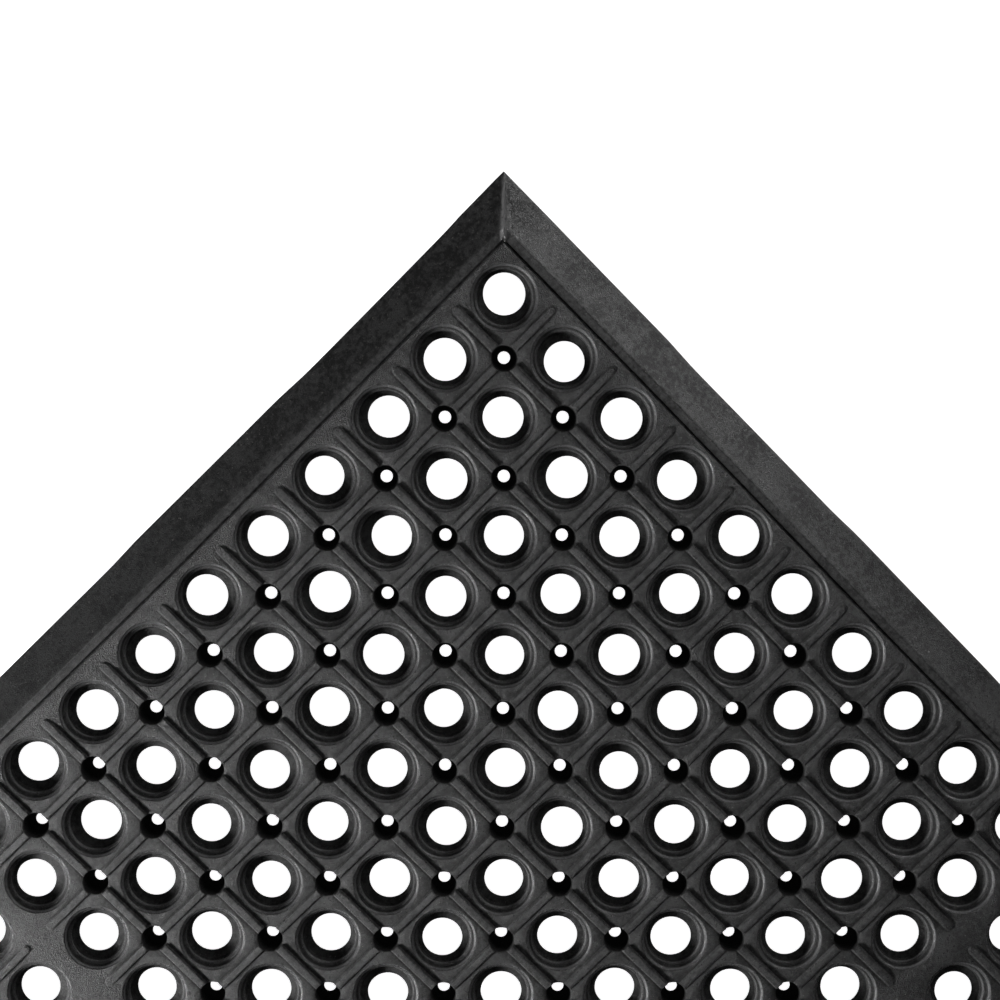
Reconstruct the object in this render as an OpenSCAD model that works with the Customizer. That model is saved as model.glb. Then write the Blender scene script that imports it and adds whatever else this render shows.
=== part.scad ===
// Rubber drainage mat: a field of moulded panels with drain holes, framed by four bevelled ramps.
// X is the width, Y the length and Z up. The origin is the middle of the underside.

/* [Layout] */
// Distance from one large drain hole to the next
pitch = 29.5; // [28:0.5:36]
// Panels across the width
panels_across = 3; // [1:1:3]
// Panels along the length
panels_along = 5; // [1:1:5]
// Large drain holes along each side of a panel
cells = 10; // [4:1:10]

/* [Heights] */
// Underside of the feet to the top of the ribs
mat_height = 9.5; // [8:0.5:14]
// How far the grip ribs stand above the deck
rib_height = 0.8; // [0.5:0.1:1.2]
// Clear height under the deck, which is the height of the feet
drain_gap = 3.1; // [2:0.1:4]

/* [Large drain holes] */
// Diameter at the deck
drain_top_d = 22.4; // [18:0.2:23]
// Diameter at the underside of the deck, inside the thin lip
drain_low_d = 14.8; // [12:0.2:16]
// Thickness of the lip where it leaves the wall
drain_lip = 1.2; // [1:0.1:2]

/* [Feet and small holes] */
// Diameter of a foot
foot_d = 13.4; // [11:0.2:14]
// Diameter of the small hole at the deck
vent_top_d = 9.6; // [7:0.2:9.8]
// Diameter of the small hole through the sole of the foot
vent_low_d = 4.4; // [3:0.2:6]
// Height of the funnel that closes a small hole in
vent_funnel = 2.6; // [2:0.2:4]

/* [Ribs] */
// Width of a grip rib
rib_w = 3.2; // [2:0.1:4]
// Distance from a rib's end to the edge of its panel
rib_setback = 4.2; // [3:0.1:6]

/* [Ramps] */
// Width of a ramp, from the panels to the outer edge
ramp_w = 16; // [12:0.5:24]
// Flat shoulder beside the panels
ramp_shoulder = 2.6; // [1:0.1:4]
// Thickness of the outer edge
ramp_lip = 1.6; // [1:0.1:3]

/* [Hidden] */
$fn = 48;
deck_z = mat_height - rib_height;
panel_w = cells * pitch;
field_x = panels_across * panel_w;
field_y = panels_along * panel_w;
over = 0.5;
PANELS = [for (r = [1:panels_along], c = [1:panels_across]) str("field_panel_r", r, "_c", c)];

// A straight bore that a funnel closes in at its lower end, from top_d to low_d at the height low_z
module funnel_hole(top_d, low_d, low_z, funnel_h) {
    taper = (top_d - low_d) / funnel_h;
    translate([0, 0, low_z + funnel_h]) cylinder(d = top_d, h = mat_height);
    translate([0, 0, low_z - over]) cylinder(d1 = low_d - taper * over, d2 = top_d, h = funnel_h + over);
}

// Places its children at every cell centre of a panel, where the large holes are
module at_cells() {
    for (i = [0:cells - 1], j = [0:cells - 1])
        translate([(i + 0.5) * pitch, (j + 0.5) * pitch, 0]) children();
}

// Places its children at every inner crossing of the cell edges, where the feet are
module at_crossings() {
    for (i = [1:cells - 1], j = [1:cells - 1])
        translate([i * pitch, j * pitch, 0]) children();
}

// Ribs along the inner cell edges, one way
module ribs_one_way() {
    for (i = [1:cells - 1])
        translate([i * pitch - rib_w / 2, rib_setback, deck_z - over])
            cube([rib_w, panel_w - 2 * rib_setback, rib_height + over]);
}

// One moulded panel with its corner at the origin
module panel() {
    difference() {
        union() {
            translate([0, 0, drain_gap]) cube([panel_w, panel_w, deck_z - drain_gap]);
            ribs_one_way();
            mirror([1, -1, 0]) ribs_one_way();
            at_crossings() cylinder(d = foot_d, h = drain_gap + over);
        }
        at_cells() funnel_hole(drain_top_d, drain_low_d, drain_gap, drain_lip);
        at_crossings() funnel_hole(vent_top_d, vent_low_d, 0, vent_funnel);
    }
}

module field_panel(row, column) {
    color("#2b2c2d")
        translate([(column - 1) * panel_w - field_x / 2, (row - 1) * panel_w - field_y / 2, 0]) panel();
}

// A ramp along X with mitred ends: its inner edge is at y = 0 and it falls away towards -Y
module ramp(inner_length) {
    outline = [[0, 0], [0, deck_z], [-ramp_shoulder, deck_z], [-ramp_w, ramp_lip], [-ramp_w, 0]];
    length = inner_length + 2 * ramp_w;
    intersection() {
        translate([-length / 2, 0, 0]) rotate([90, 0, 90]) linear_extrude(length) polygon(outline);
        linear_extrude(mat_height) polygon([
            [-inner_length / 2, 0], [-length / 2, -ramp_w], [length / 2, -ramp_w], [inner_length / 2, 0]
        ]);
    }
}

module ramp_front() {
    color("#333435") translate([0, -field_y / 2, 0]) ramp(field_x);
}

module ramp_back() {
    color("#333435") translate([0, field_y / 2, 0]) rotate([0, 0, 180]) ramp(field_x);
}

module ramp_left() {
    color("#333435") translate([-field_x / 2, 0, 0]) rotate([0, 0, -90]) ramp(field_y);
}

module ramp_right() {
    color("#333435") translate([field_x / 2, 0, 0]) rotate([0, 0, 90]) ramp(field_y);
}

for (r = [1:panels_along], c = [1:panels_across])
    field_panel(r, c);
ramp_left();
ramp_right();
ramp_front();
ramp_back();
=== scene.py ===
# %% [markdown]
# # A moulded rubber drainage mat
# The mat is pressed from black rubber in square panels, each with a grid of large drain holes, a
# small hole in every foot between them, and a web of raised grip ribs on top. Bevelled ramps frame
# the field. The CAD model gives every size and place, so the lesson starts by loading it. What is
# left for Blender is everything a mould and a press leave behind: rounded lips, a stepped wall in
# each hole, openings punched a little off centre, and a mottled, slightly waxy skin.

# %% Load the frame
import math

import bpy
import numpy as np
from mathutils import Matrix
from mathutils import Vector
from mathutils.geometry import delaunay_2d_cdt


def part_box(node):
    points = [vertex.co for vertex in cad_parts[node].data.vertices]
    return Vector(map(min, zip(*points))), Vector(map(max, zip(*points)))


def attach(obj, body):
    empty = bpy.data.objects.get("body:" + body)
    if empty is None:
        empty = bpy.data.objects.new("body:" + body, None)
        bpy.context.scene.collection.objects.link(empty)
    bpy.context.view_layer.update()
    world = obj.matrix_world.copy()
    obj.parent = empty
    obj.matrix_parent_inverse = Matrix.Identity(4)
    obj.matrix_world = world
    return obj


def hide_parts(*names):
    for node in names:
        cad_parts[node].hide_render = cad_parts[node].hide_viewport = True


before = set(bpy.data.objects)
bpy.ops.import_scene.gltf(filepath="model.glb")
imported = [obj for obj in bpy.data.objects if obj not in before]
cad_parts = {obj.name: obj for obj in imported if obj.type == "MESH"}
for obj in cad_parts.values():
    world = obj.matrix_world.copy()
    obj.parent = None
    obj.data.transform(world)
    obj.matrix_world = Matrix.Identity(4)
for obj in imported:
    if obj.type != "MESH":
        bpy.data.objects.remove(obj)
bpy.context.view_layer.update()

# %% [markdown]
# ## Measure the design
# Nothing is typed in twice. The panels' names and boxes give the pitch of the grid, and the top of a
# ramp gives the height of the deck. All the shaping below is done in millimetres, because rubber
# details are easier to judge that way, and a mesh is turned into metres once, when it is made.

# %% Sizes from the frame
MM = 0.001
CELLS = 10
PANELS = sorted(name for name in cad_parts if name.startswith("field_panel"))


def box_mm(node):
    """The lowest and highest corner of a CAD node, in millimetres."""
    low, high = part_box(node)
    return np.array(low) / MM, np.array(high) / MM


panel_low, panel_high = box_mm(PANELS[0])
PITCH = (panel_high[0] - panel_low[0]) / CELLS
HALF = PITCH / 2
DECK = box_mm("ramp_front")[1][2]
RIB = panel_high[2] - DECK
RAMP_WIDTH = panel_low[0] - box_mm("ramp_left")[0][0]
FIELD_LOW = np.min([box_mm(name)[0] for name in PANELS], axis=0)
FIELD_HIGH = np.max([box_mm(name)[1] for name in PANELS], axis=0)
print("pitch", round(PITCH, 3), "deck", round(DECK, 2), "rib", round(RIB, 2))

# %% [markdown]
# ## Describe the shapes as profiles
# A moulded hole is a solid of revolution, so its wall is a short list of rings, each with a radius
# and a height above the deck. A rib is the same idea sideways: how high the rubber stands at each
# distance from the rib's centre line, as a share of its full height. The shares below nought make
# the shallow gutter along its foot. Each ring also has a finish, between one and minus one, that
# also paints light: above nought the rubber is smoother and painted lighter, a painted highlight on
# the lips; below nought it is rougher and painted near black, a painted shade down in the holes.

# %% Profiles
RIB_PROFILE = [(0.0, 1.0), (0.9, 1.0), (1.2, 0.88), (1.6, 0.0), (1.85, -0.2), (2.15, -0.14), (2.5, 0.0)]
RIB_FOOT = RIB_PROFILE[-1][0]
TIP_CENTRE = 6.3
TIP_SLOPE = 4.0
TIP_SHARE = 0.5
VENT_RIM = 4.85
GAP = 3.1

# radius, height above the deck, how far the ring follows the punched opening, and its finish, which paints a
# highlight above nought and shade below nought
DRAIN_PROFILE = [
    (12.00, 0.00, 0.0, 0.0),
    (11.78, -0.05, 0.0, 0.2),
    (11.46, -0.29, 0.0, 1.0),
    (11.12, -0.58, 0.0, 0.8),
    (10.98, -0.92, 0.0, -0.3),
    (10.80, -2.20, 0.0, -0.7),
    (10.12, -2.48, 0.0, 0.0),
    (9.86, -2.62, 0.1, 0.8),
    (9.68, -2.92, 0.15, 0.5),
    (9.55, -3.40, 0.2, -0.6),
    (9.20, -4.50, 0.35, -0.45),
    (7.20, -4.80, 1.0, -0.35),
    (7.20, GAP - DECK, 1.0, -1.0),
]
# radius, height above the deck, how much of the rib's height the ring still shows, and its finish, here
# painted shade in the small hole
VENT_UPPER = [
    (VENT_RIM, 0.0, 1.0, 0.0),
    (4.65, -0.14, 0.95, -0.3),
    (4.48, -0.55, 0.6, -1.0),
    (4.35, -1.9, 0.0, -1.0),
]
# radius, height above the floor, and finish: painted shade in the small hole, a faint painted highlight on
# the foot
VENT_LOWER = [(4.15, 2.9, -1.0), (3.9, 2.3, -1.0), (2.45, 0.55, -1.0), (2.2, 0.3, -0.5)]
FOOT_PROFILE = [(2.35, 0.0, 0.0), (6.2, 0.0, 0.2), (6.6, 0.35, 0.0), (6.75, 2.6, 0.0), (7.3, GAP, 0.0)]
DRAIN_SEGMENTS = 36
RIB_SEGMENTS = 4
FOOT_SEGMENTS = 4
print("rings in a drain hole:", len(DRAIN_PROFILE))

# %% [markdown]
# ## A bag for faces
# Every sheet of the mould, such as a hole's wall or a piece of deck, is built on its own with exact
# coordinates, and the sheets are welded where their points meet. That is simpler than keeping track
# of shared points by number. A strip joins two rows of points; when one row has more points than the
# other, the strip advances along whichever row is behind.

# %% Sheets and strips


class Sheet:
    """Points with two weights, for the punched opening and for smoothness with its painted highlight and
    shade, and the faces between them.
    """

    def __init__(self):
        self.points = []
        self.weights = []
        self.finish_and_painted_light = []
        self.faces = []

    def row(self, points, weight=0.0, finish_and_painted_light=0.0):
        """Adds a row of points and returns their numbers."""
        start = len(self.points)
        self.points.extend(points)
        self.weights.extend([weight] * len(points))
        self.finish_and_painted_light.extend([finish_and_painted_light] * len(points))
        return list(range(start, len(self.points)))

    def strip(self, near, far):
        """Faces between two rows. Seen from outside, near is on the left of the way along the rows."""
        if len(near) == len(far):
            for k in range(len(near) - 1):
                self.faces.append((near[k], far[k], far[k + 1], near[k + 1]))
            return
        a = 0
        b = 0
        while a < len(near) - 1 or b < len(far) - 1:
            near_next = (a + 1) / (len(near) - 1)
            far_next = (b + 1) / (len(far) - 1)
            if near_next <= far_next:
                self.faces.append((near[a], far[b], near[a + 1]))
                a += 1
            else:
                self.faces.append((near[a], far[b], far[b + 1]))
                b += 1


def circle(radius, z, count, centre=(0.0, 0.0)):
    """A closed ring of points, the first repeated at the end."""
    turns = [2 * math.pi * (k % count) / count for k in range(count + 1)]
    return [(centre[0] + radius * math.cos(t), centre[1] + radius * math.sin(t), z) for t in turns]


# %% [markdown]
# ## One cell of the grid
# A cell is the square round one drain hole. Its sides are the centre lines of the ribs, except along
# the edge of a panel, where there is no rib: there the ribs that run towards the edge stop short in
# a round tip, and the corner has no small hole. So the outline differs from cell to cell, and the
# deck is filled by a constrained Delaunay triangulation: it takes the outlines and height contours
# as edges that must appear in the result, and fills whatever lies between them.

# %% Contours of the top of a cell


def turned(point, quarter):
    """A point turned about the cell's centre by quarter turns."""
    x, y = point
    for _ in range(quarter % 4):
        x, y = -y, x
    return x, y


def rib_contour(distance, tip_at_start, tip_at_end):
    """Points along the bottom side's rib, at a distance from its centre line, left to right."""
    reach = math.sqrt(VENT_RIM**2 - distance**2)
    y = -HALF + distance

    def tip(side):
        arc = [math.pi / 2 * k / 3 for k in range(3)]
        centre = side * (HALF - TIP_CENTRE)
        return [(centre + side * distance * math.cos(t), -HALF + distance * math.sin(t)) for t in arc]

    start = tip(-1) if tip_at_start else [(-HALF + reach, y)]
    end = tip(1)[::-1] if tip_at_end else [(HALF - reach, y)]
    if distance == 0.0:
        start = start[:1]
        end = end[-1:]
    straight = np.linspace(-HALF + TIP_CENTRE, HALF - TIP_CENTRE, RIB_SEGMENTS + 1)
    middle = [(x, y) for x in straight]
    if distance == 0.0 and tip_at_start:
        middle = middle[1:]
    if distance == 0.0 and tip_at_end:
        middle = middle[:-1]
    return start + middle + end


def vent_angles():
    """Angles round a quarter of a small hole's rim, so that the rib contours meet its points."""
    steps = [math.asin(d / VENT_RIM) for d, _ in RIB_PROFILE]
    between = [math.pi / 4 - 0.11, math.pi / 4 + 0.11]
    return steps + between + [math.pi / 2 - a for a in reversed(steps)]


def rib_height(x, y, edges):
    """How high the rubber stands above the deck at a point of a cell. Ribs get lower at their tips."""
    nearest = RIB_FOOT
    share = 1.0
    for quarter in range(4):
        if edges[quarter]:
            continue
        u, v = turned((x, y), -quarter)
        low = -HALF + TIP_CENTRE if edges[(quarter - 1) % 4] else -HALF
        high = HALF - TIP_CENTRE if edges[(quarter + 1) % 4] else HALF
        past = max(low - u, 0.0, u - high)
        distance = math.hypot(past, v + HALF)
        if distance < nearest:
            nearest = distance
            after_start = u - low if low > -HALF else HALF
            before_end = high - u if high < HALF else HALF
            along = max(0.0, min(after_start, before_end)) / TIP_SLOPE
            share = min(1.0, TIP_SHARE + (1 - TIP_SHARE) * along)
    distances = [d for d, _ in RIB_PROFILE]
    return share * RIB * float(np.interp(nearest, distances, [h for _, h in RIB_PROFILE]))


print("points round a small hole:", 4 * (len(vent_angles()) - 1))

# %% [markdown]
# Sides are numbered 0 to 3 from the bottom one, anticlockwise, and edges says which of them lie on
# the edge of the panel. Corner k is at the start of side k.

# %% Build a cell


def fill(outlines, keep):
    """Triangles between outlines, as points and faces, where keep says yes to a triangle's middle."""
    numbers = {}
    points = []
    links = []
    for outline in outlines:
        row = []
        for x, y in outline:
            key = (round(x, 4), round(y, 4))
            if key not in numbers:
                numbers[key] = len(points)
                points.append(Vector((x, y)))
            row.append(numbers[key])
        links.extend((a, b) for a, b in zip(row, row[1:]) if a != b)
    made = delaunay_2d_cdt(points, links, [], 0, 1e-5)
    faces = [f for f in made[2] if keep(sum((made[0][k] for k in f), Vector((0, 0))) / len(f))]
    return [tuple(p) for p in made[0]], faces


def corner_point(quarter):
    """The corner at the start of a side."""
    return turned((-HALF, -HALF), quarter)


def top_of_cell(sheet, edges):
    """The deck and the ribs of one cell."""
    outlines = [[p[:2] for p in circle(DRAIN_PROFILE[0][0], 0, DRAIN_SEGMENTS)]]
    vents = []
    for quarter in range(4):
        before = edges[(quarter - 1) % 4]
        after = edges[(quarter + 1) % 4]
        if edges[quarter]:
            side = [(-HALF, -HALF), (-HALF / 2, -HALF), (0.0, -HALF), (HALF / 2, -HALF), (HALF, -HALF)]
            outlines.append([turned(p, quarter) for p in side])
        else:
            for distance, _ in RIB_PROFILE:
                contour = rib_contour(distance, before, after)
                outlines.append([turned(p, quarter) for p in contour])
            for flag, side in ((before, -1), (after, 1)):
                if flag:
                    marks = [HALF - TIP_CENTRE + d for d, _ in RIB_PROFILE] + [HALF]
                    outlines.append([turned((side * m, -HALF), quarter) for m in marks])
        if not edges[quarter] and not before:
            x, y = corner_point(quarter)
            vents.append((x, y))
            arc = [turned((VENT_RIM * math.cos(t), VENT_RIM * math.sin(t)), quarter) for t in vent_angles()]
            outlines.append([(x + u, y + v) for u, v in arc])

    def keep(middle):
        if middle.length < DRAIN_PROFILE[0][0] * 0.998:
            return False
        return all(math.hypot(middle.x - x, middle.y - y) > VENT_RIM * 0.999 for x, y in vents)

    points, faces = fill(outlines, keep)
    start = len(sheet.points)
    sheet.row([(x, y, DECK + rib_height(x, y, edges)) for x, y in points])
    sheet.faces.extend(tuple(start + k for k in face) for face in faces)


def drain_wall(sheet):
    """The wall of the large hole, from its lip down to the underside."""
    rows = [sheet.row(circle(r, DECK + z, DRAIN_SEGMENTS), w, f) for r, z, w, f in DRAIN_PROFILE]
    for upper, lower in zip(rows, rows[1:]):
        sheet.strip(lower, upper)


def quarter_ring(quarter, radius, heights, angles):
    """Points of a quarter ring round the corner at the start of a side."""
    x, y = corner_point(quarter)
    ring = []
    for t, z in zip(angles, heights):
        u, v = turned((radius * math.cos(t), radius * math.sin(t)), quarter)
        ring.append((x + u, y + v, z))
    return ring


def foot_and_vent(sheet, quarter, edges):
    """A quarter of a foot, and of the small hole through it."""
    angles = vent_angles()
    rim = [rib_height(*quarter_ring(quarter, VENT_RIM, [0], [t])[0][:2], edges) for t in angles]
    rows = []
    for radius, z, share, finish_and_painted_light in VENT_UPPER:
        heights = [DECK + z + share * h for h in rim]
        rows.append(sheet.row(quarter_ring(quarter, radius, heights, angles), 0.0, finish_and_painted_light))
    coarse = np.linspace(0, math.pi / 2, FOOT_SEGMENTS + 1)
    for radius, z, finish_and_painted_light in VENT_LOWER + FOOT_PROFILE:
        rows.append(sheet.row(quarter_ring(quarter, radius, [z] * len(coarse), coarse), 0.0, finish_and_painted_light))
    for upper, lower in zip(rows, rows[1:]):
        sheet.strip(lower, upper)


def underside(sheet, edges):
    """The flat underside of the deck, and the panel's side wall where the cell has one."""
    foot = FOOT_PROFILE[-1][0]
    opening = DRAIN_PROFILE[-1][0]
    ring_steps = [(10.9, GAP), (10.4, GAP - 0.7), (9.4, GAP - 0.7), (9.0, GAP), (opening, GAP)]
    outlines = [[p[:2] for p in circle(ring_steps[0][0], 0, DRAIN_SEGMENTS // 2)]]
    feet = []
    for quarter in range(4):
        before = edges[(quarter - 1) % 4]
        after = edges[(quarter + 1) % 4]
        start = -HALF if edges[quarter] or before else -HALF + foot
        end = HALF if edges[quarter] or after else HALF - foot
        outlines.append([turned((start, -HALF), quarter), turned((end, -HALF), quarter)])
        if not edges[quarter] and not before:
            feet.append(corner_point(quarter))
            coarse = np.linspace(0, math.pi / 2, FOOT_SEGMENTS + 1)
            outlines.append([p[:2] for p in quarter_ring(quarter, foot, [0] * len(coarse), coarse)])
        if edges[quarter]:
            marks = [-HALF, -HALF / 2, 0.0, HALF / 2, HALF]
            top = sheet.row([(*turned((m, -HALF), quarter), DECK) for m in marks])
            low = sheet.row([(*turned((m, -HALF), quarter), GAP) for m in (-HALF, HALF)])
            sheet.strip(top, low)

    def keep(middle):
        if middle.length < ring_steps[0][0] * 0.99:
            return False
        return all(math.hypot(middle.x - x, middle.y - y) > foot * 0.995 for x, y in feet)

    points, faces = fill(outlines, keep)
    start = len(sheet.points)
    sheet.row([(x, y, GAP) for x, y in points])
    sheet.faces.extend(tuple(start + k for k in reversed(face)) for face in faces)
    rows = [sheet.row(circle(r, z, DRAIN_SEGMENTS // 2)) for r, z in ring_steps[:-1]]
    rows.append(sheet.row(circle(opening, GAP, DRAIN_SEGMENTS), 1.0))
    for outer, inner in zip(rows, rows[1:]):
        sheet.strip(outer, inner)


def cell(edges):
    """One cell of a panel, with its centre at the origin."""
    sheet = Sheet()
    top_of_cell(sheet, edges)
    drain_wall(sheet)
    for quarter in range(4):
        if not edges[quarter] and not edges[(quarter - 1) % 4]:
            foot_and_vent(sheet, quarter, edges)
    underside(sheet, edges)
    return sheet


inner_cell = cell((False, False, False, False))
print("faces in an inner cell:", len(inner_cell.faces))

# %% [markdown]
# ## Weld a whole panel once
# A hundred cells make a panel, and fifteen panels make the field. The cells are stamped side by side
# and welded into one closed skin only once; each panel then gets a copy of that mesh and moves its
# points. Three layers of numbers ride along with the points: which cell a point belongs to, how much
# it follows the punched opening, and its finish, which paints a highlight on rubbed lips and shade
# down in the holes.

# %% The panel's master mesh


def panel_master():
    """All cells side by side: points with their layers (cell number, opening, smoothness with painted
    light), and faces.
    """
    kinds = {}
    points = []
    layers = []
    faces = []
    for row in range(CELLS):
        for column in range(CELLS):
            edges = (row == 0, column == CELLS - 1, row == CELLS - 1, column == 0)
            if edges not in kinds:
                kinds[edges] = cell(edges)
            sheet = kinds[edges]
            start = len(points)
            dx = (column + 0.5) * PITCH
            dy = (row + 0.5) * PITCH
            points.extend((x + dx, y + dy, z) for x, y, z in sheet.points)
            number = row * CELLS + column
            layers.extend((number, w, f) for w, f in zip(sheet.weights, sheet.finish_and_painted_light))
            faces.extend(tuple(start + k for k in face) for face in sheet.faces)
    return points, layers, faces


def welded(points, layers, faces):
    """Joins points that lie together, and drops faces that close up."""
    keys = np.round(np.array(points) * 1000).astype(np.int64)
    _, first, number = np.unique(keys, axis=0, return_index=True, return_inverse=True)
    number = number.ravel()
    kept = []
    for face in faces:
        ring = []
        for k in face:
            n = int(number[k])
            if n not in ring:
                ring.append(n)
        if len(ring) > 2:
            kept.append(ring)
    return np.array(points)[first], np.array(layers)[first], kept


master_points, master_layers, master_faces = welded(*panel_master())
owner = master_layers[:, 0].astype(int)
follow = master_layers[:, 1]
# the finish layer: painted highlight above nought, painted shade below nought
skin_and_painted_light = master_layers[:, 2]
master = bpy.data.meshes.new("panel_master")
master.from_pydata([tuple(p) for p in master_points], [], master_faces)
master.update()
print("panel points:", len(master_points), "faces:", len(master_faces))

# %% [markdown]
# ## Finishes
# Moulded rubber is never one flat black. Its skin is mottled where mould release pooled, finely
# grained all over, and it carries a few pale specks of dust. All of that comes from noise in the
# object's own coordinates, so the pattern runs on from panel to panel. Four layers of numbers are
# stored on the meshes, because only a mesh knows where its rims are. Wear is where the rubber is
# rubbed grey. Gloss makes a lip smoother and paints it lighter, a painted highlight. Hollow makes the
# walls of the holes and the gutters beside the ribs rougher and paints them near black, a painted
# shade. Scuff is where it is wrinkled. A mesh without one of the layers reads as nought.

# %% Rubber


def noise(tree, place, scale, detail, roughness=0.6):
    """A noise texture in object coordinates; scale is features per metre."""
    node = tree.nodes.new("ShaderNodeTexNoise")
    node.inputs["Scale"].default_value = scale
    node.inputs["Detail"].default_value = detail
    node.inputs["Roughness"].default_value = roughness
    tree.links.new(place, node.inputs["Vector"])
    return node.outputs["Fac"]


def spread(tree, value, low, high, out_low=0.0, out_high=1.0):
    """Stretches a value from one range to another, clamped."""
    node = tree.nodes.new("ShaderNodeMapRange")
    for name, number in zip(("From Min", "From Max", "To Min", "To Max"), (low, high, out_low, out_high)):
        node.inputs[name].default_value = number
    tree.links.new(value, node.inputs["Value"])
    return node.outputs["Result"]


def math_node(tree, operation, first, second):
    """Two values, or a value and a number, combined."""
    node = tree.nodes.new("ShaderNodeMath")
    node.operation = operation
    for socket, value in zip(node.inputs, (first, second)):
        if isinstance(value, float):
            socket.default_value = value
        else:
            tree.links.new(value, socket)
    return node.outputs["Value"]


def blended(tree, factor, first, second):
    """A colour between two others; each may be a colour or a socket."""
    node = tree.nodes.new("ShaderNodeMix")
    node.data_type = "RGBA"
    tree.links.new(factor, node.inputs["Factor"])
    for name, colour in (("A", first), ("B", second)):
        socket = [i for i in node.inputs if i.name == name and i.type == "RGBA"][0]
        if isinstance(colour, tuple):
            socket.default_value = (*colour, 1.0)
        else:
            tree.links.new(colour, socket)
    return [o for o in node.outputs if o.type == "RGBA"][0]


def mesh_layer(tree, name):
    """A layer of numbers stored on the mesh."""
    node = tree.nodes.new("ShaderNodeAttribute")
    node.attribute_name = name
    return node.outputs["Fac"]


def rubber(name, dark, pale, grain, roughness):
    """Black moulded rubber. Grain is the height of the fine texture, in millimetres."""
    material = bpy.data.materials.new(name)
    material.use_nodes = True
    tree = material.node_tree
    shader = tree.nodes["Principled BSDF"]
    place = tree.nodes.new("ShaderNodeTexCoord").outputs["Object"]
    patches = noise(tree, place, 95.0, 4.0)
    mottle = noise(tree, place, 560.0, 5.0, 0.72)
    fine = noise(tree, place, 2400.0, 3.0, 0.6)
    specks = noise(tree, place, 1500.0, 1.0, 0.4)
    cloud = math_node(tree, "ADD", math_node(tree, "MULTIPLY", patches, 0.55), mottle)
    body = blended(tree, spread(tree, cloud, 0.69, 0.87), dark, pale)
    # gloss smooths the lips and also paints them lighter: a painted highlight on the rims of the holes
    gloss_and_painted_highlight = mesh_layer(tree, "gloss_and_painted_highlight")
    wear_and_painted_light = math_node(tree, "MULTIPLY", mesh_layer(tree, "wear"), spread(tree, mottle, 0.3, 0.75))
    wear_and_painted_light = math_node(tree, "MAXIMUM", wear_and_painted_light, math_node(tree, "MULTIPLY", gloss_and_painted_highlight, 0.85))
    # the pale colour is real wear on rib tops and ramps, and a painted highlight on the lips
    body = blended(tree, wear_and_painted_light, body, tuple(3.4 * c for c in pale))
    dust = spread(tree, specks, 0.70, 0.76, 0.0, 0.6)
    body = blended(tree, dust, body, (0.16, 0.155, 0.145))
    # hollow paints the walls of the holes and the gutters near black: painted shade
    hollow_painted_shade = mesh_layer(tree, "hollow_painted_shade")
    body = blended(tree, hollow_painted_shade, body, tuple(0.2 * c for c in dark))
    tree.links.new(body, shader.inputs["Base Color"])
    sheen = spread(tree, cloud, 0.62, 0.94, roughness + 0.14, roughness - 0.12)
    sheen = math_node(tree, "SUBTRACT", sheen, math_node(tree, "MULTIPLY", gloss_and_painted_highlight, 0.17))
    sheen = math_node(tree, "ADD", sheen, math_node(tree, "MULTIPLY", hollow_painted_shade, 0.5))
    tree.links.new(sheen, shader.inputs["Roughness"])
    relief = math_node(tree, "ADD", fine, math_node(tree, "MULTIPLY", mottle, 0.6))
    folds = noise(tree, place, 320.0, 1.0)
    folds = math_node(tree, "ABSOLUTE", math_node(tree, "SUBTRACT", folds, 0.5), 0.0)
    folds = math_node(tree, "MULTIPLY", spread(tree, folds, 0.0, 0.05, 2.2, 0.0), mesh_layer(tree, "scuff"))
    relief = math_node(tree, "ADD", relief, folds)
    smoothed = spread(tree, gloss_and_painted_highlight, 0.0, 1.0, 1.0, 0.35)
    relief = math_node(tree, "MULTIPLY", relief, smoothed)
    bump = tree.nodes.new("ShaderNodeBump")
    bump.inputs["Strength"].default_value = 1.0
    bump.inputs["Distance"].default_value = grain * MM
    tree.links.new(relief, bump.inputs["Height"])
    tree.links.new(bump.outputs["Normal"], shader.inputs["Normal"])
    return material


field_rubber = rubber("field_rubber", (0.001, 0.001, 0.0011), (0.029, 0.029, 0.0295), 0.5, 0.37)
ramp_rubber = rubber("ramp_rubber", (0.004, 0.004, 0.0041), (0.037, 0.037, 0.0372), 0.18, 0.38)
print("finishes:", field_rubber.name, ramp_rubber.name)

# %% [markdown]
# ## Nothing is quite straight
# A mat that has been pressed, trimmed and laid down wanders by a fraction of a millimetre. The shift
# depends only on where a point is, so pieces that touch stay together. Heights change in proportion
# to the height itself, which leaves the soles of the feet on the floor. Before the ramps were welded
# on, the outer panels were cut back, by up to 2 mm and not evenly, and the ramps are wider than the
# design says. So only the plain margin outside the last row of holes is drawn in.

# %% Wander


MARGIN = HALF - 12.1
RAMP_EXCESS = 1.6
# axis, which end of it, length and phase of the unevenness, and mean depth of the cut
SIDES = [(0, 1, 260, -0.7, 0.9), (1, 1, 110, 3.7, 0.65), (0, -1, 230, 0.4, 0.6), (1, -1, 150, 1.1, 0.6)]


def seated(points):
    """Draws the field's outer margins in, and the ramps after them."""
    moved = points.copy()
    for axis, sign, length, phase, depth in SIDES:
        edge = FIELD_HIGH[axis] if sign > 0 else -FIELD_LOW[axis]
        beyond = sign * points[:, axis] - edge
        short = depth * (1 + np.sin(points[:, 1 - axis] / length + phase))
        moved[:, axis] -= sign * short * np.clip(beyond / MARGIN + 1, 0, 1)
        moved[:, axis] += sign * RAMP_EXCESS * np.clip(beyond / RAMP_WIDTH, 0, 1)
    return moved


SWAY = 0.5
RIPPLE = 0.22


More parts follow.
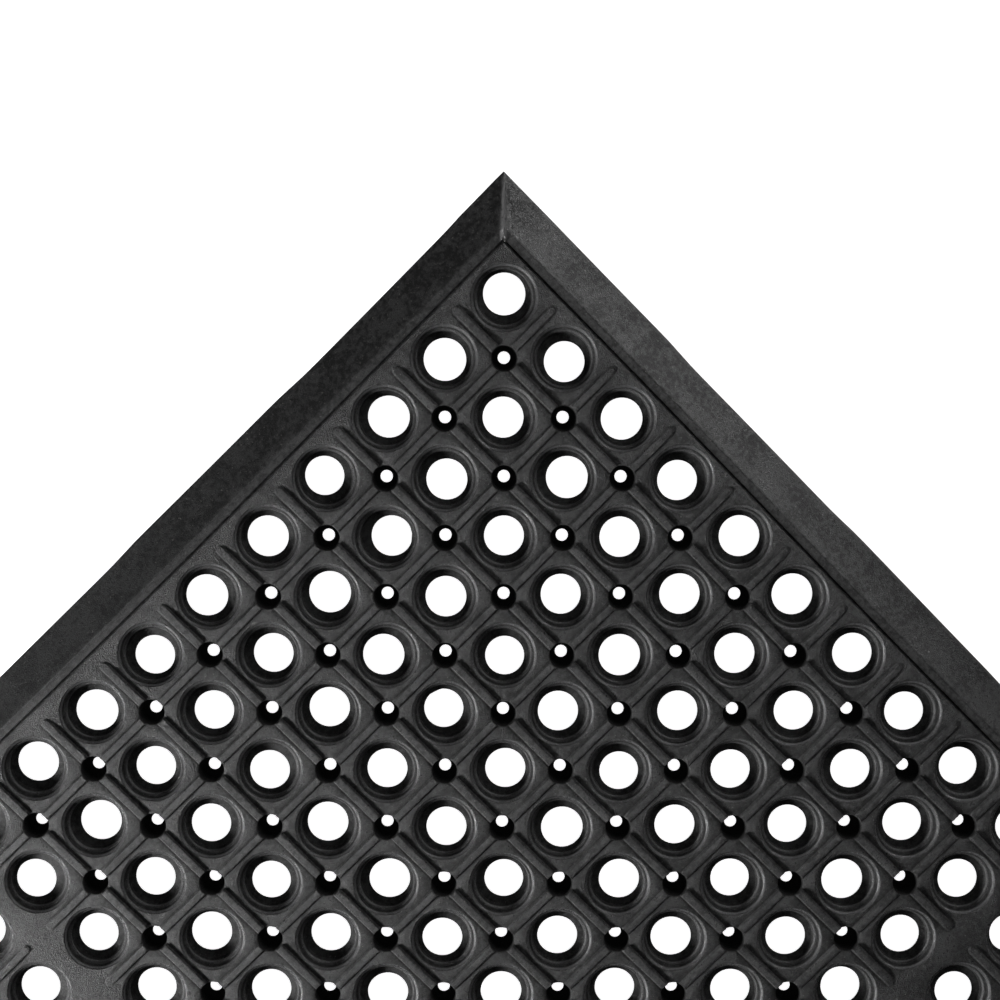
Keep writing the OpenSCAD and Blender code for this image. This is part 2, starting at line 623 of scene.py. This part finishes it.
def wander(points):
    """Moves points a little, by a smooth rule of their place on the mat."""
    x, y, z = points.T
    moved = seated(points)
    moved[:, 0] += SWAY * np.sin(y / 118 + 0.6) + RIPPLE * np.sin(y / 37 + x / 160)
    moved[:, 1] += SWAY * np.sin(x / 96 + 1.9) + RIPPLE * np.sin(x / 41 + y / 170)
    moved[:, 2] += z / DECK * (0.10 * np.sin(x / 33 + 0.4) * np.sin(y / 29) + 0.05 * np.sin(x / 9 + y / 11))
    return moved


def smooth_by_angle(mesh, degrees=38):
    """Smooth shading, broken where faces meet at more than this angle."""
    mesh.shade_smooth()
    mesh.set_sharp_from_angle(angle=math.radians(degrees))


def finish_piece(mesh, name, node, material):
    """Puts a mesh in the scene in place of its CAD node."""
    piece = bpy.data.objects.new(name, mesh)
    bpy.context.scene.collection.objects.link(piece)
    mesh.materials.append(material)
    smooth_by_angle(mesh)
    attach(piece, "root")
    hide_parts(node)
    return piece


print("largest sideways wander:", round(SWAY + RIPPLE, 2), "mm")

# %% [markdown]
# ## Panels
# In each copy of the master, every large hole gets an opening of its own: it is punched a little off
# centre, a little larger or smaller, and now and then some flash is left across one side.

# %% Make the panels
OPENING = DRAIN_PROFILE[-1][0]
PUNCH_SPREAD = 0.75
PUNCH_LIMIT = 1.4
SIZE_SPREAD = 0.022
FLASH_CHANCE = 0.006
FLASH_CHORD = 0.96


def punched(points, rng):
    """Shifts, scales and trims the opening of every large hole."""
    shift = np.clip(rng.normal(0, PUNCH_SPREAD, (CELLS**2, 2)), -PUNCH_LIMIT, PUNCH_LIMIT)
    size = rng.normal(0, SIZE_SPREAD, CELLS**2)
    flash = rng.random(CELLS**2) < FLASH_CHANCE
    flash_way = rng.uniform(0, 2 * math.pi, CELLS**2)
    middle = np.stack([owner % CELLS + 0.5, owner // CELLS + 0.5], axis=1) * PITCH
    arm = points[:, :2] - middle
    way = np.stack([np.cos(flash_way), np.sin(flash_way)], axis=1)[owner]
    along = (arm * way).sum(axis=1)
    excess = np.maximum(along - FLASH_CHORD * OPENING, 0) * flash[owner] * (follow == 1)
    arm = arm - way * excess[:, None]
    arm = arm * (1 + size[owner] * follow)[:, None]
    moved = points.copy()
    moved[:, :2] = middle + arm + shift[owner] * follow[:, None]
    return moved


def add_layer(mesh, name, values):
    """Stores one number per point on a mesh."""
    mesh.attributes.new(name, "FLOAT", "POINT").data.foreach_set("value", values)


def wear_of(points):
    """Where rubber gets worn grey: the tops of the ribs."""
    height = points[:, 2] - DECK
    return 0.25 * np.clip((height - 0.6 * RIB) / (0.4 * RIB), 0, 1)


def painted_shade_of(points):
    """Painted shade: how near black the colour is painted down in the holes, and in the gutters beside the
    ribs.
    """
    height = points[:, 2] - DECK
    # painted shade in the gutters beside the ribs
    gutter_painted_shade = 0.6 * np.clip(-height / (0.2 * RIB), 0, 1) * (height > -0.3 * RIB) * (follow == 0) * (skin_and_painted_light == 0)
    return np.maximum(-skin_and_painted_light, gutter_painted_shade)


def make_panel(node, seed):
    """One panel, in place."""
    low = box_mm(node)[0]
    points = punched(master_points, np.random.default_rng(seed))
    wear = wear_of(points)
    hollow_painted_shade = painted_shade_of(points)
    points = wander(points + np.array([low[0], low[1], 0.0])) * MM
    mesh = master.copy()
    mesh.name = node
    mesh.vertices.foreach_set("co", points.ravel())
    add_layer(mesh, "wear", wear)
    # painted shade in the holes and gutters, and a painted highlight on the lips
    add_layer(mesh, "hollow_painted_shade", hollow_painted_shade)
    add_layer(mesh, "gloss_and_painted_highlight", np.maximum(skin_and_painted_light, 0))
    mesh.update()
    return finish_piece(mesh, node + "_rubber", node, field_rubber)


panels = [make_panel(node, seed) for seed, node in enumerate(PANELS)]
print("panels:", len(panels))

# %% [markdown]
# ## Ramps
# A ramp is one profile carried along the edge, so its outline is drawn once: the groove beside the
# field, a narrow flat shoulder with a low bead, the slope, and a rounded lip. The ends are mitred,
# which only means that each line of the profile ends where it meets the same line of the next ramp.
# The joint was vulcanised by hand: a bead of rubber stands along it, the hot tool wrinkled the skin
# on one side, and the outer edge was trimmed in several cuts.

# %% Make the ramps
SLOPE_FOOT = 1.75
# distance out from the field, height above the floor, and finish: wear above nought, painted shade in the
# groove below nought
RAMP_PROFILE = [
    (0.0, 0.0, -1.0),
    (0.0, DECK - 1.3, -1.0),
    (0.45, DECK - 1.4, -1.0),
    (0.85, DECK - 1.1, -0.8),
    (0.95, DECK - 0.25, -1.0),
    (1.02, DECK - 0.02, -0.3),
    (1.6, DECK - 0.02, 0.3),
    (2.9, DECK - 0.02, 0.35),
    (3.25, DECK + 0.10, 0.22),
    (3.65, DECK + 0.02, 0.25),
    (4.1, DECK - 0.27, 0.15),
    (4.8, DECK - 0.73, 0.05),
    (6.8, DECK - 2.1, 0.0),
    (9.6, DECK - 3.9, 0.0),
    (12.6, DECK - 5.65, 0.0),
    (15.0, SLOPE_FOOT, 0.0),
    (15.6, 1.45, 0.2),
    (RAMP_WIDTH, 1.0, 0.1),
    (RAMP_WIDTH, 0.3, 0.0),
    (15.7, 0.0, 0.0),
]
STATION_GAP = 6.0
MITRE_STEPS = [0.0, 0.3, 0.7, 1.2, 2.0, 3.6]
BEAD_HEIGHT = 1.0
BEAD_WIDTH = 1.7
BEAD_WEAR = 4


def stations(length, out):
    """Places along a ramp for the profile line at a distance out from the field."""
    count = round((length - 2 * STATION_GAP) / STATION_GAP)
    middle = list(np.linspace(-length / 2 + STATION_GAP, length / 2 - STATION_GAP, count + 1))
    end = length / 2 + out
    spare = np.array(MITRE_STEPS)
    return [-end + s for s in spare] + middle + [end - s for s in spare[::-1]]


def bead(from_mitre, out):
    """Height of the weld bead, widest at its inner end and gone before the lip."""
    width = BEAD_WIDTH * (1.25 - 0.75 * out / RAMP_WIDTH)
    share = max(0.0, 1 - from_mitre / width)
    fade = min(1.0, max(0.0, (RAMP_WIDTH - 1.5 - out) / 3)) * min(1.0, max(0.0, (out - 0.9) / 0.4))
    return BEAD_HEIGHT * share * share * (3 - 2 * share) * fade


def trimmed(s, from_mitre, out):
    """How far the outer edge strays where it was trimmed by hand, with small steps between cuts."""
    share = min(1.0, max(0.0, (out - 12.5) / 3)) * min(1.0, from_mitre / 25)
    return share * (0.3 * math.sin(s / 43 + 1.0) + 0.3 * math.tanh(5 * math.sin(s / 27 + 0.5)))


def scuff(from_mitre, out):
    """Where the hot tool that closed a mitre left the rubber wrinkled, on one side of it."""
    return math.exp(-(((from_mitre - 8) / 4.5) ** 2) - ((out - 10) / 4) ** 2)


def make_ramp(node, side, turn):
    """A ramp along the field's side of that length, turned into place about the mat's middle."""
    length, reach = side
    rows = []
    finish_and_painted_light = []
    scuffs = []
    for out, z, wear_and_painted_light in RAMP_PROFILE:
        line = stations(length, out)
        end = length / 2 + out
        raised = [bead(end - abs(s), out) if z > 1 else 0.0 for s in line]
        strays = [trimmed(s, end - abs(s), out) for s in line]
        rows.append([(s, -reach - out - t, z + b) for s, t, b in zip(line, strays, raised)])
        scuffs.extend(scuff(end - s, out) for s in line)
        finish_and_painted_light.extend(max(wear_and_painted_light, BEAD_WEAR * b / BEAD_HEIGHT) for b in raised)
    count = len(rows[0])
    points = np.array([p for row in rows for p in row])
    faces = []
    for k in range(len(rows)):
        after = (k + 1) % len(rows)
        for j in range(count - 1):
            faces.append((k * count + j, after * count + j, after * count + j + 1, k * count + j + 1))
    faces.append([k * count for k in reversed(range(len(rows)))])
    faces.append([k * count + count - 1 for k in range(len(rows))])
    c, s = round(math.cos(turn)), round(math.sin(turn))
    points[:, :2] = points[:, :2] @ np.array([[c, s], [-s, c]])
    points = wander(points) * MM
    mesh = bpy.data.meshes.new(node)
    mesh.from_pydata([tuple(p) for p in points], [], faces)
    add_layer(mesh, "wear", np.maximum(finish_and_painted_light, 0))
    add_layer(mesh, "scuff", scuffs)
    # painted shade in the groove beside the field
    add_layer(mesh, "hollow_painted_shade", np.maximum(np.negative(finish_and_painted_light), 0))
    mesh.update()
    return finish_piece(mesh, node + "_rubber", node, ramp_rubber)


FIELD = FIELD_HIGH - FIELD_LOW
ramps = [
    make_ramp("ramp_front", (FIELD[0], FIELD[1] / 2), 0),
    make_ramp("ramp_right", (FIELD[1], FIELD[0] / 2), math.pi / 2),
    make_ramp("ramp_back", (FIELD[0], FIELD[1] / 2), math.pi),
    make_ramp("ramp_left", (FIELD[1], FIELD[0] / 2), -math.pi / 2),
]
print("ramps:", [len(r.data.polygons) for r in ramps])

# %% [markdown]
# ## Studio
# The mat lies on a plain white floor, under a faint even sky. The light is set up round one corner,
# where the camera looks. A low lamp on its left draws the rims and throws the ribs' short shadows, a
# soft panel on its right lays a grey sheen on the ramp that faces it, and a small lamp near the
# corner makes that sheen brighter towards the mitre. Two spots light the rest of the mat. The floor
# glows, so it stays white, but it is kept out of the mat's own light: from below it would turn the
# black walls of the holes grey.

# %% Floor, lamps and camera


FLOOR_DROP = -0.0002


def make_floor():
    """A plain white floor under the mat, wide enough for a low view."""
    size = 40.0
    mesh = bpy.data.meshes.new("floor")
    corners = [(-size, -size, 0.0), (size, -size, 0.0), (size, size, 0.0), (-size, size, 0.0)]
    mesh.from_pydata(corners, [], [(0, 1, 2, 3)])
    floor = bpy.data.objects.new("floor", mesh)
    bpy.context.scene.collection.objects.link(floor)
    white = bpy.data.materials.new("white_floor")
    white.use_nodes = True
    shader = white.node_tree.nodes["Principled BSDF"]
    shader.inputs["Base Color"].default_value = (0.85, 0.85, 0.85, 1)
    shader.inputs["Roughness"].default_value = 0.9
    shader.inputs["Emission Color"].default_value = (1, 1, 1, 1)
    shader.inputs["Emission Strength"].default_value = 1.0
    mesh.materials.append(white)
    floor.location.z = FLOOR_DROP
    floor.visible_diffuse = False
    floor.visible_glossy = False
    return floor


def aimed(thing, place, target):
    """Puts a lamp somewhere, out of the camera's sight, and turns it to a target."""
    thing.location = place
    thing.visible_camera = False
    thing.rotation_mode = "QUATERNION"
    thing.rotation_quaternion = (Vector(target) - Vector(place)).to_track_quat("-Z", "Y")
    bpy.context.scene.collection.objects.link(thing)


def soft_box(name, place, target, size, power):
    """A lamp of that width and height."""
    data = bpy.data.lights.new(name, "AREA")
    data.shape = "RECTANGLE"
    data.size, data.size_y = size
    data.energy = power
    aimed(bpy.data.objects.new(name, data), place, target)


def spot(name, place, target, angle, power):
    """A lamp that lights a round patch and fades towards its edge."""
    data = bpy.data.lights.new(name, "SPOT")
    data.spot_size = math.radians(angle)
    data.spot_blend = 1.0
    data.shadow_soft_size = 0.1
    data.energy = power
    aimed(bpy.data.objects.new(name, data), place, target)


make_floor()
corner = Vector((FIELD_HIGH[0] * MM, FIELD_HIGH[1] * MM, DECK * MM))
middle_of_view = corner + Vector((-0.12, -0.12, 0.0))
soft_box("low_lamp", middle_of_view + Vector((-0.877, 0.203, 0.26)), middle_of_view, (0.5, 0.07), 14.5)
soft_box("side_panel", middle_of_view + Vector((2.24, 0.0, 0.55)), middle_of_view, (0.6, 0.4), 17)
soft_box("corner_lamp", corner + Vector((0.49, 0.0, 0.36)), corner, (0.12, 0.12), 0.5)
soft_box("top_lamp", middle_of_view + Vector((0.1, 0.1, 2.3)), middle_of_view, (0.4, 0.4), 3)
spot("front_left_spot", Vector((-0.9, -1.5, 1.5)), Vector((0.0, -0.5, 0.0)), 34, 90)
spot("front_right_spot", Vector((1.5, -1.2, 1.3)), Vector((0.2, -0.4, 0.0)), 34, 60)

world = bpy.data.worlds.new("studio")
world.use_nodes = True
world.node_tree.nodes["Background"].inputs["Color"].default_value = (1, 1, 1, 1)
world.node_tree.nodes["Background"].inputs["Strength"].default_value = 0.04
bpy.context.scene.world = world
bpy.context.scene.view_settings.view_transform = "Standard"

first_hole = corner - Vector((HALF, HALF, 0.0)) * MM
eye = first_hole + Vector((-0.342, 0.089, 18.871)) * PITCH * MM
gaze = Vector((-0.0719, -0.0915, -0.9932))
up = Vector((0.7004, 0.7043, -0.1156))
camera_data = bpy.data.cameras.new("camera")
camera_data.sensor_width = 36.0
camera_data.lens = 57.6
camera_data.clip_start = 0.01
camera = bpy.data.objects.new("camera", camera_data)
bpy.context.scene.collection.objects.link(camera)
side = gaze.cross(up).normalized()
level = side.cross(gaze).normalized()
turn = Matrix((side, level, -gaze)).transposed()
camera.matrix_world = Matrix.Translation(eye) @ turn.to_4x4()
bpy.context.scene.camera = camera
print("camera height above the deck:", round(eye.z - corner.z, 3), "m")
